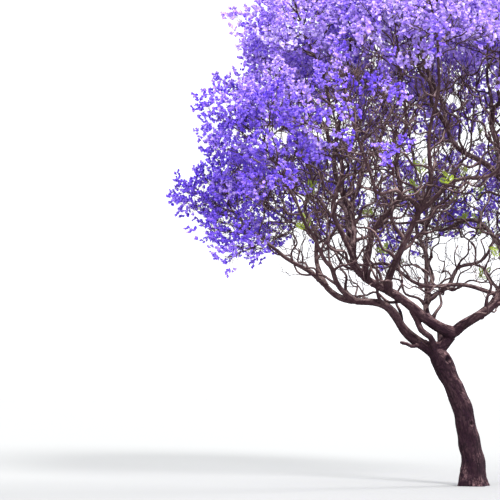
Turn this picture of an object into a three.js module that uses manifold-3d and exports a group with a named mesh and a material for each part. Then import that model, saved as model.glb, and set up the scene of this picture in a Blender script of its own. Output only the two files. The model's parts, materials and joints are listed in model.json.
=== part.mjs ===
// An old jacaranda in full bloom: a leaning trunk that forks at head height into winding boughs, each of
// which ends in a mass of twigs and blossom sprays. Millimetres, +Z up. The origin is the middle of the
// flat cut at ground level; +X is to the right and +Y is away, seen from the side that the tree leans across.
import * as THREE from "three";
import { mergeVertices } from "three/addons/utils/BufferGeometryUtils.js";
import Module from "manifold-3d";

const wasm = await Module();
wasm.setup();

// Driving dimensions
const FORK_HEIGHT = 2560;
const TRUNK_LEAN = -730; // how far across from the foot the fork stands
const TRUNK_RADIUS = 180; // at breast height
const ROOT_FLARE = 95; // how far the foot spreads beyond the trunk above it
const CUT_DEPTH = 40; // the foot is drawn this much too deep, then cut flat at ground level
const SWAY = 0.032; // how far a limb winds to each side, as a share of its length
const PULL = [0.38, 0.38]; // how long a limb keeps its first and last heading, as shares of its length
const GAP = 0.3; // between any two pieces that meet

const SPREAD = 1230; // radius of a mass of twigs and blossom
const ENTRY = 0.82; // share of the spread at which a limb ends and the stem of its mass begins
const STEM_LENGTH = 0.95 * SPREAD;
const TWIGS = 5; // on each stem
const TWIG_RADIUS = 27;
const TWIG_TAPER = 0.75;
const TWIG_REACH = 0.54; // share of the way from the stem to the edge of the mass
const SPRAY_LENGTH = 820; // one solid spray stands for a whole group of blossom heads
const SPRAY_WIDTH = 520;
const SPRAY_THICKNESS = 260;
const SPRAY_WIDEST = 0.55; // share of a spray's length
const SPRAY_REACH = 1.13 * SPREAD;
const SIDE_SPRAYS = [0.45, 0.8]; // where they leave their twig, to the left and to the right
const SUNK = 20; // how far a spray at a twig's end reaches back into it
const SPACE_MARGIN = 6; // kept clear on each side of the plane between two masses
const LIMB_CLEARANCE = 12; // from twigs and sprays to any limb

const BARK = new THREE.MeshStandardMaterial({ color: 0x4a3a3c, roughness: 0.92, metalness: 0 });
const BLOSSOM = new THREE.MeshStandardMaterial({ color: 0x8468dc, roughness: 0.7, metalness: 0 });

const UP = new THREE.Vector3(0, 0, 1);
const GOLDEN_ANGLE = 137.5;
const radians = THREE.MathUtils.degToRad;
const { lerp, smoothstep, clamp } = THREE.MathUtils;

// Headings are degrees seen from above: 0 is to the right, 90 away, 180 to the left. Rise is above level.
function direction([heading, rise]) {
  const level = Math.cos(radians(rise));
  return new THREE.Vector3(
    level * Math.cos(radians(heading)),
    level * Math.sin(radians(heading)),
    Math.sin(radians(rise)),
  );
}

// The same row of shares from 0 to 1 each time it is started with the same seed
function seeded(seed) {
  let state = seed;
  return () => {
    state = (state * 48271) % 2147483647;
    return state / 2147483647;
  };
}

// A smooth bend from one point to another that winds about its line as jacaranda wood does
class LimbCurve extends THREE.Curve {
  constructor(start, leave, end, arrive, sway = 0, seed = 1, pull = PULL) {
    super();
    const length = start.distanceTo(end);
    this.bend = new THREE.CubicBezierCurve3(
      start,
      start.clone().addScaledVector(leave, pull[0] * length),
      end.clone().addScaledVector(arrive, -pull[1] * length),
      end,
    );
    const chord = end.clone().sub(start);
    this.reach = sway * length;
    this.side = new THREE.Vector3().crossVectors(chord, UP).normalize();
    this.over = new THREE.Vector3().crossVectors(this.side, chord).normalize();
    const random = seeded(seed);
    this.sidePhase = 2 * Math.PI * random();
    this.overPhase = 2 * Math.PI * random();
  }

  getPoint(t) {
    const swell = this.reach * Math.sin(Math.PI * t);
    return this.bend
      .getPoint(t)
      .addScaledVector(this.side, swell * Math.sin(2 * Math.PI * 1.6 * t + this.sidePhase))
      .addScaledVector(this.over, swell * Math.sin(2 * Math.PI * 2.3 * t + this.overPhase));
  }
}

function tangentAt(curve, t) {
  const step = 0.01;
  const from = curve.getPoint(Math.max(0, t - step));
  return curve.getPoint(Math.min(1, t + step)).sub(from).normalize();
}

// A closed cylinder bent along a curve, with its radius given at each share of the length and each angle.
// The margin is added all round it and at both ends.
function bentTube(curve, sides, steps, radiusAt, margin = 0) {
  const tube = new THREE.CylinderGeometry(1, 1, 1, sides, steps);
  tube.deleteAttribute("normal");
  tube.deleteAttribute("uv");
  const geometry = mergeVertices(tube);
  const frames = [];
  let across = Math.abs(tangentAt(curve, 0).z) > 0.9 ? new THREE.Vector3(1, 0, 0) : UP.clone();
  for (let i = 0; i <= steps; i++) {
    const along = tangentAt(curve, i / steps);
    across = across.clone().addScaledVector(along, -across.dot(along)).normalize();
    const middle = curve.getPoint(i / steps);
    if (i === 0) middle.addScaledVector(along, -margin);
    if (i === steps) middle.addScaledVector(along, margin);
    frames.push({ middle, across, around: along.clone().cross(across) });
  }
  const position = geometry.getAttribute("position");
  for (let i = 0; i < position.count; i++) {
    const t = position.getY(i) + 0.5;
    const x = position.getZ(i);
    const y = position.getX(i);
    const { middle, across: u, around: v } = frames[Math.round(t * steps)];
    const radius = radiusAt(t, Math.atan2(y, x)) + margin;
    const point = middle.clone().addScaledVector(u, radius * x).addScaledVector(v, radius * y);
    position.setXYZ(i, point.x, point.y, point.z);
  }
  return geometry;
}

function solidOf(geometry) {
  return new wasm.Manifold(
    new wasm.Mesh({
      numProp: 3,
      vertProperties: new Float32Array(geometry.getAttribute("position").array),
      triVerts: new Uint32Array(geometry.index.array),
    }),
  );
}

function largestPiece(solid) {
  return solid.decompose().sort((a, b) => b.volume() - a.volume())[0];
}

function meshOf(name, solid, material) {
  const { numProp, vertProperties, triVerts, numVert } = solid.getMesh();
  const corners = new Float32Array(numVert * 3);
  for (let i = 0; i < numVert; i++) {
    corners.set(vertProperties.subarray(i * numProp, i * numProp + 3), i * 3);
  }
  const geometry = new THREE.BufferGeometry();
  geometry.setAttribute("position", new THREE.BufferAttribute(corners, 3));
  geometry.setIndex(new THREE.BufferAttribute(triVerts, 1));
  const mesh = new THREE.Mesh(geometry, material);
  mesh.name = name;
  return mesh;
}

// The trunk stands upright out of a lobed root flare, then leans left to its fork, where it swells
const trunk = {
  name: "trunk",
  curve: new LimbCurve(
    new THREE.Vector3(0, 0, -CUT_DEPTH),
    direction([180, 90]),
    new THREE.Vector3(TRUNK_LEAN, 0, FORK_HEIGHT),
    direction([180, 60]),
    0.004,
    11,
  ),
  sides: 15,
  steps: 12,
  radiusAt(t, angle) {
    const foot = Math.exp(-t * 11);
    const lobes = 1 + 0.16 * foot * Math.cos(5 * angle + 0.6);
    const taper = TRUNK_RADIUS * (1.12 - 0.3 * t + 0.16 * smoothstep(t, 0.62, 0.88));
    const crotch = Math.sqrt(1 - 0.75 * smoothstep(t, 0.86, 1));
    return (taper + ROOT_FLARE * foot) * lobes * crotch;
  },
};

// Each limb leaves its parent at a share of the parent's length, with a heading and rise, and arrives
// with another at its mass of blossom, whose middle is named by bloom. It ends where it enters that mass.
const LIMBS = [
  { name: "left_bough", from: "trunk", at: 0.8, leave: [184, 58], arrive: [184, 40],
    bloom: [-4200, -400, 4750], base: 118, tip: 34, seed: 3 },
  { name: "right_bough", from: "trunk", at: 0.93, leave: [0, 35], arrive: [5, 80],
    bloom: [1900, -300, 7450], base: 110, tip: 30, seed: 12, pull: [0.24, 0.38] },
  { name: "middle_bough", from: "right_bough", at: 0.12, leave: [204, 24], arrive: [0, 82],
    bloom: [-2050, -300, 8450], base: 102, tip: 30, seed: 45, pull: [0.44, 0.64] },
  { name: "back_bough", from: "trunk", at: 0.84, leave: [92, 44], arrive: [85, 42],
    bloom: [-400, 3350, 5150], base: 92, tip: 30, seed: 21 },
  { name: "front_bough", from: "middle_bough", at: 0.28, leave: [300, 50], arrive: [265, 66],
    bloom: [-900, -3050, 7700], base: 70, tip: 26, seed: 15, pull: [0.3, 0.38] },
  { name: "left_front_limb", from: "left_bough", at: 0.58, leave: [215, 38], arrive: [215, 55],
    bloom: [-3650, -2100, 5650], base: 54, tip: 24, seed: 7 },
  { name: "left_upper_limb", from: "left_bough", at: 0.74, leave: [150, 66], arrive: [150, 70],
    bloom: [-3350, 250, 7100], base: 48, tip: 24, seed: 29 },
  { name: "left_riser", from: "middle_bough", at: 0.37, leave: [330, 72], arrive: [255, 68],
    bloom: [-1450, -2350, 7350], base: 62, tip: 26, seed: 31 },
  { name: "middle_front_limb", from: "middle_bough", at: 0.46, leave: [190, 62], arrive: [205, 68],
    bloom: [-3050, -1350, 8100], base: 54, tip: 24, seed: 37 },
  { name: "middle_rear_limb", from: "middle_bough", at: 0.5, leave: [120, 50], arrive: [140, 64],
    bloom: [-2500, 1850, 7300], base: 54, tip: 24, seed: 41 },
  { name: "middle_top_limb", from: "middle_bough", at: 0.64, leave: [60, 62], arrive: [85, 75],
    bloom: [-1150, 1050, 8600], base: 46, tip: 24, seed: 43 },
  { name: "crossing_limb", from: "right_bough", at: 0.36, leave: [165, 14], arrive: [150, 36],
    bloom: [-3500, 2000, 5250], base: 44, tip: 24, seed: 47 },
  { name: "arching_limb", from: "right_bough", at: 0.47, leave: [120, 74], arrive: [150, 24],
    bloom: [-2300, 3200, 5500], base: 52, tip: 24, seed: 17 },
  { name: "right_low_limb", from: "right_bough", at: 0.3, leave: [15, 28], arrive: [20, 38],
    bloom: [2500, 850, 5350], base: 56, tip: 26, seed: 19 },
  { name: "right_front_limb", from: "right_bough", at: 0.4, leave: [325, 32], arrive: [325, 45],
    bloom: [2300, -1600, 5700], base: 54, tip: 24, seed: 71 },
  { name: "right_rear_limb", from: "right_bough", at: 0.62, leave: [70, 46], arrive: [60, 62],
    bloom: [1850, 1600, 7150], base: 48, tip: 24, seed: 79 },
  { name: "inner_riser", from: "right_bough", at: 0.74, leave: [176, 6], arrive: [150, 80],
    bloom: [-1000, -150, 8850], base: 70, tip: 28, seed: 53 },
  { name: "inner_front_limb", from: "inner_riser", at: 0.62, leave: [210, 50], arrive: [235, 72],
    bloom: [-1250, -1600, 8650], base: 46, tip: 24, seed: 59 },
  { name: "outer_riser", from: "inner_riser", at: 0.28, leave: [60, 82], arrive: [85, 84],
    bloom: [450, 600, 8500], base: 60, tip: 26, seed: 61 },
  { name: "outer_front_limb", from: "outer_riser", at: 0.48, leave: [290, 55], arrive: [275, 68],
    bloom: [450, -1400, 8200], base: 46, tip: 24, seed: 67 },
  { name: "front_left_limb", from: "front_bough", at: 0.42, leave: [235, 40], arrive: [240, 58],
    bloom: [-2300, -3300, 6050], base: 48, tip: 24, seed: 83 },
  { name: "front_right_limb", from: "front_bough", at: 0.4, leave: [335, 48], arrive: [300, 55],
    bloom: [1150, -2900, 6900], base: 46, tip: 24, seed: 89 },
  { name: "back_right_limb", from: "back_bough", at: 0.5, leave: [40, 42], arrive: [50, 45],
    bloom: [1450, 2850, 5500], base: 52, tip: 24, seed: 97 },
  { name: "back_upper_limb", from: "back_bough", at: 0.56, leave: [110, 72], arrive: [120, 70],
    bloom: [-900, 2650, 7150], base: 50, tip: 24, seed: 101 },
  { name: "back_top_limb", from: "back_upper_limb", at: 0.4, leave: [30, 55], arrive: [70, 70],
    bloom: [450, 2050, 7650], base: 42, tip: 22, seed: 103 },
];

const limbs = new Map([["trunk", trunk]]);
for (const limb of LIMBS) {
  limb.centre = new THREE.Vector3(...limb.bloom);
  const entry = direction(limb.arrive);
  const start = limbs.get(limb.from).curve.getPoint(limb.at);
  const end = limb.centre.clone().addScaledVector(entry, -ENTRY * SPREAD);
  limb.curve = new LimbCurve(start, direction(limb.leave), end, entry, SWAY, limb.seed, limb.pull);
  limb.length = limb.curve.getLength();
  limb.sides = limb.base > 80 ? 8 : 6;
  limb.steps = Math.round(clamp(limb.length / 480, 6, 12));
  limb.radiusAt = (t) => {
    const collar = 0.3 * limb.base * Math.exp((-t * limb.length) / (1.6 * limb.base));
    return lerp(limb.base, limb.tip, t ** 0.8) + collar;
  };
  limbs.set(limb.name, limb);
}

function limbSolid(limb, margin) {
  return solidOf(bentTube(limb.curve, limb.sides, limb.steps, limb.radiusAt, margin));
}

function boxesMeet(a, b) {
  const first = a.boundingBox();
  const second = b.boundingBox();
  return [0, 1, 2].every((axis) => first.min[axis] < second.max[axis] && second.min[axis] < first.max[axis]);
}

const tree = new THREE.Group();
tree.name = "jacaranda";

// Everything below ground level is cut away, and each limb is cut back to a slightly fatter copy of
// every limb before it
const underground = new THREE.BoxGeometry(2000, 2000, 1000);
underground.deleteAttribute("normal");
underground.deleteAttribute("uv");
underground.translate(0, 0, -500);
const cutters = [solidOf(mergeVertices(underground))];
for (const limb of limbs.values()) {
  let solid = limbSolid(limb, 0);
  for (const cutter of cutters) {
    if (boxesMeet(solid, cutter)) solid = solid.subtract(cutter);
  }
  tree.add(meshOf(limb.name, largestPiece(solid), BARK));
  cutters.push(limbSolid(limb, GAP));
}

// How far a point lies inside the planes between this mass's space and all the others'
function depthInSpace(mass, point) {
  let depth = Infinity;
  for (const other of LIMBS) {
    if (other === mass) continue;
    const nearer = point.distanceToSquared(other.centre) - point.distanceToSquared(mass.centre);
    depth = Math.min(depth, nearer / (2 * mass.centre.distanceTo(other.centre)));
  }
  return depth;
}

function fitsSpace(mass, points, reach) {
  return points.every(
    (point) => depthInSpace(mass, point) > SPACE_MARGIN && point.distanceTo(mass.centre) < reach,
  );
}

const limbPoints = [...limbs.values()].flatMap((limb) => {
  const count = 80;
  const shares = Array.from({ length: count + 1 }, (_, i) => i / count);
  return shares.map((t) => ({ point: limb.curve.getPoint(t), radius: limb.radiusAt(t, 0) }));
});

// The clear distance between a rod from one point to another and the nearest limb's bark
function clearOfLimbs(from, to, thickness) {
  const rod = new THREE.Line3(from, to);
  const nearest = new THREE.Vector3();
  let clear = Infinity;
  for (const { point, radius } of limbPoints) {
    rod.closestPointToPoint(point, true, nearest);
    clear = Math.min(clear, nearest.distanceTo(point) - radius - thickness);
  }
  return clear;
}

// The longest of a few lengths that keeps to the mass's own space and off the limbs
function fittingLength(mass, root, along, length, thickness, reach) {
  for (const share of [1, 0.8, 0.62, 0.45]) {
    const end = root.clone().addScaledVector(along, share * length);
    const side = new THREE.Vector3().crossVectors(along, UP).setLength(thickness);
    const middle = root.clone().lerp(end, 0.45);
    const points = [end, middle.clone().add(side), middle.clone().sub(side)];
    const start = root.clone().addScaledVector(along, 0.12 * share * length);
    if (fitsSpace(mass, points, reach) && clearOfLimbs(start, end, thickness) > LIMB_CLEARANCE) {
      return share * length;
    }
  }
  return 0;
}

// A kite with a keel under it, six faces in all: its root is sunk in the twig and its far end is the tip
function sprayGeometry(root, along, length, roll) {
  const kite = new THREE.SphereGeometry(1, 3, 2);
  kite.deleteAttribute("normal");
  kite.deleteAttribute("uv");
  const geometry = mergeVertices(kite);
  const wide = new THREE.Vector3().crossVectors(UP, along).normalize().applyAxisAngle(along, roll);
  const over = new THREE.Vector3().crossVectors(along, wide);
  const share = length / SPRAY_LENGTH;
  const position = geometry.getAttribute("position");
  for (let i = 0; i < position.count; i++) {
    const reach = position.getY(i) > 0.5 ? 1 : position.getY(i) < -0.5 ? 0 : SPRAY_WIDEST;
    const point = root
      .clone()
      .addScaledVector(along, reach * length)
      .addScaledVector(wide, (position.getZ(i) * share * SPRAY_WIDTH) / Math.sqrt(3))
      .addScaledVector(over, (position.getX(i) * share * SPRAY_THICKNESS) / 1.5);
    position.setXYZ(i, point.x, point.y, point.z);
  }
  return geometry;
}

function cornersOf(geometry) {
  const position = geometry.getAttribute("position");
  return Array.from({ length: position.count }, (_, i) => new THREE.Vector3().fromBufferAttribute(position, i));
}

// One mass: a stem carried on from its limb, twigs round it at the golden angle, and sprays on each twig.
// Every share is drawn before anything is skipped, so each twig always gets the same ones.
function bloomSolid(limb) {
  const random = seeded(1000 + 7 * limb.seed);
  const three = () => [random(), random(), random()];
  const entry = tangentAt(limb.curve, 1);
  const foot = limb.curve.getPoint(1).addScaledVector(entry, GAP);
  const head = foot.clone().addScaledVector(entry, STEM_LENGTH).addScaledVector(UP, 0.06 * STEM_LENGTH);
  const stem = new LimbCurve(foot, entry, head, entry.clone().addScaledVector(UP, 0.4).normalize());
  const pieces = [solidOf(bentTube(stem, 5, 3, (t) => lerp(limb.tip, TWIG_RADIUS, t)))];
  const addSpray = (root, along, length, roll, sunk) => {
    const fitted = fittingLength(limb, root, along, length, SPRAY_WIDTH / 2, SPRAY_REACH);
    if (fitted === 0) return;
    const start = root.clone().addScaledVector(along, -sunk);
    const geometry = sprayGeometry(start, along, fitted + sunk, roll);
    if (fitsSpace(limb, cornersOf(geometry), SPRAY_REACH)) pieces.push(solidOf(geometry));
  };
  for (let i = 0; i < TWIGS; i++) {
    const share = lerp(0.22, 0.97, i / (TWIGS - 1));
    const turn = radians(GOLDEN_ANGLE * i + 30 * random());
    const tilt = radians(lerp(96, 30, share) + 16 * (random() - 0.5));
    const stretch = 0.9 + 0.2 * random();
    const lengths = three().map((draw) => SPRAY_LENGTH * (0.85 + 0.3 * draw));
    const rolls = three().map((draw) => Math.PI * (draw - 0.5));
    const axis = tangentAt(stem, share);
    const out = new THREE.Vector3().crossVectors(axis, UP).normalize().applyAxisAngle(axis, turn);
    const along = axis.clone().multiplyScalar(Math.cos(tilt)).addScaledVector(out, Math.sin(tilt));
    along.addScaledVector(UP, 0.2).normalize();
    const root = stem.getPoint(share);
    const offset = root.clone().sub(limb.centre);
    const inward = offset.dot(along);
    const run = -inward + Math.sqrt(inward ** 2 - offset.lengthSq() + SPREAD ** 2);
    const length = fittingLength(limb, root, along, TWIG_REACH * run * stretch, TWIG_RADIUS, SPREAD);
    if (length === 0) continue;
    const end = root.clone().addScaledVector(along, length);
    const line = new LimbCurve(root, along, end, along);
    const twig = bentTube(line, 3, 1, (t) => lerp(TWIG_RADIUS, TWIG_TAPER * TWIG_RADIUS, t));
    if (!fitsSpace(limb, cornersOf(twig), SPREAD)) continue;
    pieces.push(solidOf(twig));
    addSpray(end, along, lengths[0], rolls[0], SUNK);
    const flat = new THREE.Vector3().crossVectors(along, UP).normalize();
    SIDE_SPRAYS.forEach((place, k) => {
      const from = root.clone().addScaledVector(along, place * length);
      const sideways = along.clone().addScaledVector(flat, k ? -1.7 : 1.7).addScaledVector(UP, 0.25);
      addSpray(from, sideways.normalize(), 0.88 * lengths[k + 1], rolls[k + 1], 0);
    });
  }
  addSpray(stem.getPoint(1), tangentAt(stem, 1), SPRAY_LENGTH, 0, SUNK);
  return largestPiece(wasm.Manifold.union(pieces));
}

for (const limb of LIMBS) {
  const name = limb.name.replace(/_(bough|limb)$/, "") + "_bloom";
  tree.add(meshOf(name, bloomSolid(limb), BLOSSOM));
}

export default tree;
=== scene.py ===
import json
import math

import bmesh
import bpy
import numpy as np
from mathutils import Matrix, Vector, kdtree, noise

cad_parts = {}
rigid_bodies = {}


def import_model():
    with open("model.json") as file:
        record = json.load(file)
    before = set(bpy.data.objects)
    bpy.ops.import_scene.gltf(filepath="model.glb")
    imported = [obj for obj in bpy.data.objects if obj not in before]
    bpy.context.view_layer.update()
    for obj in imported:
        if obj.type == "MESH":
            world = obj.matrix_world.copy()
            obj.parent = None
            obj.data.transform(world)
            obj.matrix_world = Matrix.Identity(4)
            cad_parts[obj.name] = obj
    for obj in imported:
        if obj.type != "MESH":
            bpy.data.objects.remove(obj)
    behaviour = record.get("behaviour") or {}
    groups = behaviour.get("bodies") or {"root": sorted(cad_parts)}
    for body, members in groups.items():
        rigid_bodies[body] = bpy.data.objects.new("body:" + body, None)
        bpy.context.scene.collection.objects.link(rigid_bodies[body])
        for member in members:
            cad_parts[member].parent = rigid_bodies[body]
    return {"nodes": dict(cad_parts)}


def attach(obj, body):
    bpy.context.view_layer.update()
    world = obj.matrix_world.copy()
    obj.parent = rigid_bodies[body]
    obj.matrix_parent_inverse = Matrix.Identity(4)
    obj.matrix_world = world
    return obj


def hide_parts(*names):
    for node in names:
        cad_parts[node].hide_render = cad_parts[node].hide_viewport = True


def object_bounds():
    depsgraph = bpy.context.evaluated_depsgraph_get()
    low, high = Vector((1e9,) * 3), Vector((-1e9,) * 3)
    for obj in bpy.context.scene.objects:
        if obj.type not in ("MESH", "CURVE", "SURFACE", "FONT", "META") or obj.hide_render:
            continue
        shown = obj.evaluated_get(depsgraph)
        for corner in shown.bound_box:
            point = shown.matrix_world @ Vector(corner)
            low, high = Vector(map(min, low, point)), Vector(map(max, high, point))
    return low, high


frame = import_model()
cad_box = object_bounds()

# Trunk and the feet of the boughs. The real wood is one grown piece: it stands up out of a lobed root
# flare, leans away to a fork above head height and winds on in five boughs. It is drawn as tubes bent along
# the solids' own routes, grown together with a remesh, furrowed like old bark and cut flat at the ground.
UP = Vector((0, 0, 1))
FORK_HEIGHT = 2.56
TRUNK_LEAN = -0.73
TRUNK_RADIUS = 0.18
ROOT_FLARE = 0.095
ROOT_LOBES = 5
CUT_DEPTH = 0.04  # how far below the ground the trunk's tube starts, before it is cut flat
SWAY = 0.032  # how far a limb winds off its line, as a share of its length
WINDS = (1.6, 2.3)  # how often it winds sideways and upwards
PULL = (0.38, 0.38)  # how long it keeps its heading at either end, as shares of its length
SPREAD = 1.23  # radius of a mass of twigs and blossom
ENTRY = 0.82  # how far from the mass's middle its limb ends, as a share of that radius


def lerp(a, b, share):
    return a + (b - a) * share


def smoothstep(value, low, high):
    share = min(1, max(0, (value - low) / (high - low)))
    return share * share * (3 - 2 * share)


def direction(heading, rise):
    """A heading seen from above, 0 to the right and 90 away, and a rise above level, in degrees"""
    level = math.cos(math.radians(rise))
    across = Vector((math.cos(math.radians(heading)), math.sin(math.radians(heading)), 0))
    return across * level + UP * math.sin(math.radians(rise))


def seeded(seed):
    """The same row of shares from 0 to 1 that the solids were grown with"""
    state = seed
    while True:
        state = state * 48271 % 2147483647
        yield state / 2147483647


class Route:
    """A smooth bend from one point to another that winds about its line"""

    def __init__(self, start, leave, end, arrive, sway=0.0, seed=1, pull=PULL):
        length = (end - start).length
        self.corners = (start, start + leave * pull[0] * length, end - arrive * pull[1] * length, end)
        self.reach = sway * length
        self.side = (end - start).cross(UP).normalized()
        self.over = self.side.cross(end - start).normalized()
        draw = seeded(int(seed))
        self.phases = (2 * math.pi * next(draw), 2 * math.pi * next(draw))

    def point(self, t):
        a, b, c, d = self.corners
        s = 1 - t
        swell = self.reach * math.sin(math.pi * t)
        sideways = swell * math.sin(2 * math.pi * WINDS[0] * t + self.phases[0])
        upward = swell * math.sin(2 * math.pi * WINDS[1] * t + self.phases[1])
        bend = a * s**3 + b * (3 * s * s * t) + c * (3 * s * t * t) + d * t**3
        return bend + self.side * sideways + self.over * upward

    def tangent(self, t):
        return (self.point(min(1, t + 0.01)) - self.point(max(0, t - 0.01))).normalized()

    def frames(self, shares):
        """At each share: the middle, a direction across the limb, and the one a quarter turn round it"""
        across = Vector((1, 0, 0)) if abs(self.tangent(0).z) > 0.9 else UP
        found = []
        for t in shares:
            along = self.tangent(t)
            across = (across - along * across.dot(along)).normalized()
            found.append((self.point(t), across, along.cross(across)))
        return found

    def length(self):
        points = [self.point(i / 60) for i in range(61)]
        return sum((b - a).length for a, b in zip(points, points[1:]))


def trunk_radius(t, angle):
    """Lobed at the root flare, fluted above it, swollen under the fork and drawn in at its crotch"""
    foot = math.exp(-t * 11)
    lobes = 1 + 0.16 * foot * math.cos(ROOT_LOBES * angle + 0.6)
    flutes = 1 + 0.025 * math.cos(3 * angle + 5 * t) * smoothstep(t, 0.1, 0.4)
    taper = TRUNK_RADIUS * (1.12 - 0.3 * t + 0.16 * smoothstep(t, 0.62, 0.88))
    crotch = math.sqrt(1 - 0.75 * smoothstep(t, 0.86, 1))
    return (taper + ROOT_FLARE * foot) * lobes * flutes * crotch


class Limb:
    """One limb, from a row of the tables of boughs and limbs"""

    def __init__(self, name, parent, at, leave, arrive, bloom, base, tip, seed, pull=PULL):
        self.name, self.parent, self.base, self.tip, self.seed = name, parent, base, tip, seed
        self.centre = Vector(bloom)
        entry = direction(*arrive)
        end = self.centre - entry * (ENTRY * SPREAD)
        start = wood[parent].route.point(at)
        self.route = Route(start, direction(*leave), end, entry, SWAY, seed, pull)
        self.length = self.route.length()

    def radius(self, t, angle=0):
        collar = 0.3 * self.base * math.exp(-t * self.length / (1.6 * self.base))
        return lerp(self.base, self.tip, t**0.8) + collar

    def slender(self, t):
        """0 where the bark is as old as the trunk's, 1 where it is young"""
        return 1 - smoothstep(self.radius(t), 0.03, 0.11)


class Trunk:
    """The trunk, from below the ground to its fork, with what a limb has"""

    fork = Vector((TRUNK_LEAN, 0, FORK_HEIGHT))
    route = Route(UP * -CUT_DEPTH, direction(180, 90), fork, direction(180, 60), sway=0.004, seed=11)
    length = route.length()
    radius = staticmethod(trunk_radius)
    slender = staticmethod(lambda t: 0)


wood = {"trunk": Trunk()}
# Each row: name, parent, where on the parent it leaves, its heading and rise there, those where it enters
# its mass, the mass's middle, its radius at base and tip, its seed, and its own pulls if it has any
BOUGHS = [
    ("left_bough", "trunk", 0.8, (184, 58), (184, 40), (-4.2, -0.4, 4.75), 0.118, 0.034, 3),
    ("right_bough", "trunk", 0.93, (0, 35), (5, 80), (1.9, -0.3, 7.45), 0.11, 0.03, 12, (0.24, 0.38)),
    ("middle_bough", "right_bough", 0.12, (204, 24), (0, 82), (-2.05, -0.3, 8.45),
     0.102, 0.03, 45, (0.44, 0.64)),
    ("back_bough", "trunk", 0.84, (92, 44), (85, 42), (-0.4, 3.35, 5.15), 0.092, 0.03, 21),
    ("front_bough", "middle_bough", 0.28, (300, 50), (265, 66), (-0.9, -3.05, 7.7),
     0.07, 0.026, 15, (0.3, 0.38)),
]


def grow(rows):
    """The limbs of a table, each grown once its parent is"""
    for row in rows:
        wood[row[0]] = Limb(*row)
    return [wood[row[0]] for row in rows]


boughs = grow(BOUGHS)


def even(share):
    return 1.0


def edit_with(mesh, kind, chosen):
    """Goes into edit mode with only those vertices or edges selected that are chosen"""
    bpy.ops.object.mode_set(mode="EDIT")
    bpy.ops.mesh.select_mode(type=kind)
    bpy.ops.mesh.select_all(action="DESELECT")
    cage = bmesh.from_edit_mesh(mesh)
    for part in cage.verts if kind == "VERT" else cage.edges:
        part.select_set(chosen(part))
    bmesh.update_edit_mesh(mesh)


def bent_tube(name, limb, sides, steps, first=0.0, last=1.0, swell=even):
    """A capped cylinder, cut across into steps and bent along a stretch of a limb's route"""
    bpy.ops.object.select_all(action="DESELECT")
    bpy.ops.mesh.primitive_cylinder_add(vertices=sides, radius=1, depth=1)
    tube = bpy.context.object
    tube.name = name
    edit_with(tube.data, "EDGE", lambda edge: abs(edge.verts[0].co.z - edge.verts[1].co.z) > 0.5)
    bpy.ops.mesh.subdivide(number_cuts=steps - 1)
    bpy.ops.object.mode_set(mode="OBJECT")
    shares = [lerp(first, last, i / steps) for i in range(steps + 1)]
    frames = limb.route.frames(shares)
    for vertex in tube.data.vertices:
        x, y, z = vertex.co
        step = round((z + 0.5) * steps)
        middle, across, around = frames[step]
        radius = limb.radius(shares[step], math.atan2(y, x)) * swell(step / steps)
        vertex.co = middle + across * (radius * x) + around * (radius * y)
    return tube


def grown_together(name, tubes, voxel):
    """Tubes joined in one skin where they meet, with soft crotches"""
    bpy.ops.object.select_all(action="DESELECT")
    for tube in tubes:
        tube.select_set(True)
    bpy.context.view_layer.objects.active = tubes[0]
    bpy.ops.object.join()
    piece = bpy.context.object
    piece.name = name
    piece.modifiers.new("grow", "REMESH").voxel_size = voxel
    bpy.ops.object.modifier_apply(modifier="grow")
    smooth = piece.modifiers.new("soften", "SMOOTH")
    smooth.iterations = 4
    bpy.ops.object.modifier_apply(modifier=smooth.name)
    bpy.ops.object.shade_smooth()
    return piece


ROUTE_STEP = 0.03  # between the places on a limb that its bark is measured from
# Scars where lost limbs stood: where each lies and how wide its lip is
SCARS = [(Vector((-0.45, -0.14, 2.22)), 0.08), (Vector((-0.03, -0.17, 1.09)), 0.05),
         (Vector((-0.33, 0.16, 1.7)), 0.06), (Vector((0.17, 0.05, 0.95)), 0.045)]


def furrow_depth(place, girth):
    """0 in a crack of the bark and 1 on the middle of a plate, with plates longer up the limb"""
    grain = max(0.45, min(1, girth / 0.12))
    coarse = noise.noise(Vector((place.x / 0.034, place.y / 0.034, place.z / 0.14)) / grain)
    fine = noise.noise(Vector((place.x / 0.016, place.y / 0.016, place.z / 0.05 + 40)) / grain)
    return lerp(1, smoothstep(abs(coarse), 0, 0.2), 0.8) * lerp(1, smoothstep(abs(fine), 0, 0.22), 0.5)


def add_attributes(mesh, attributes):
    """Attributes of each point from arrays, of a number or of three"""
    for name, values in attributes.items():
        kind, field = ("FLOAT", "value") if values.ndim == 1 else ("FLOAT_VECTOR", "vector")
        layer = mesh.attributes.new(name, kind, "POINT")
        layer.data.foreach_set(field, values.astype(np.float32).ravel())


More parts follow.
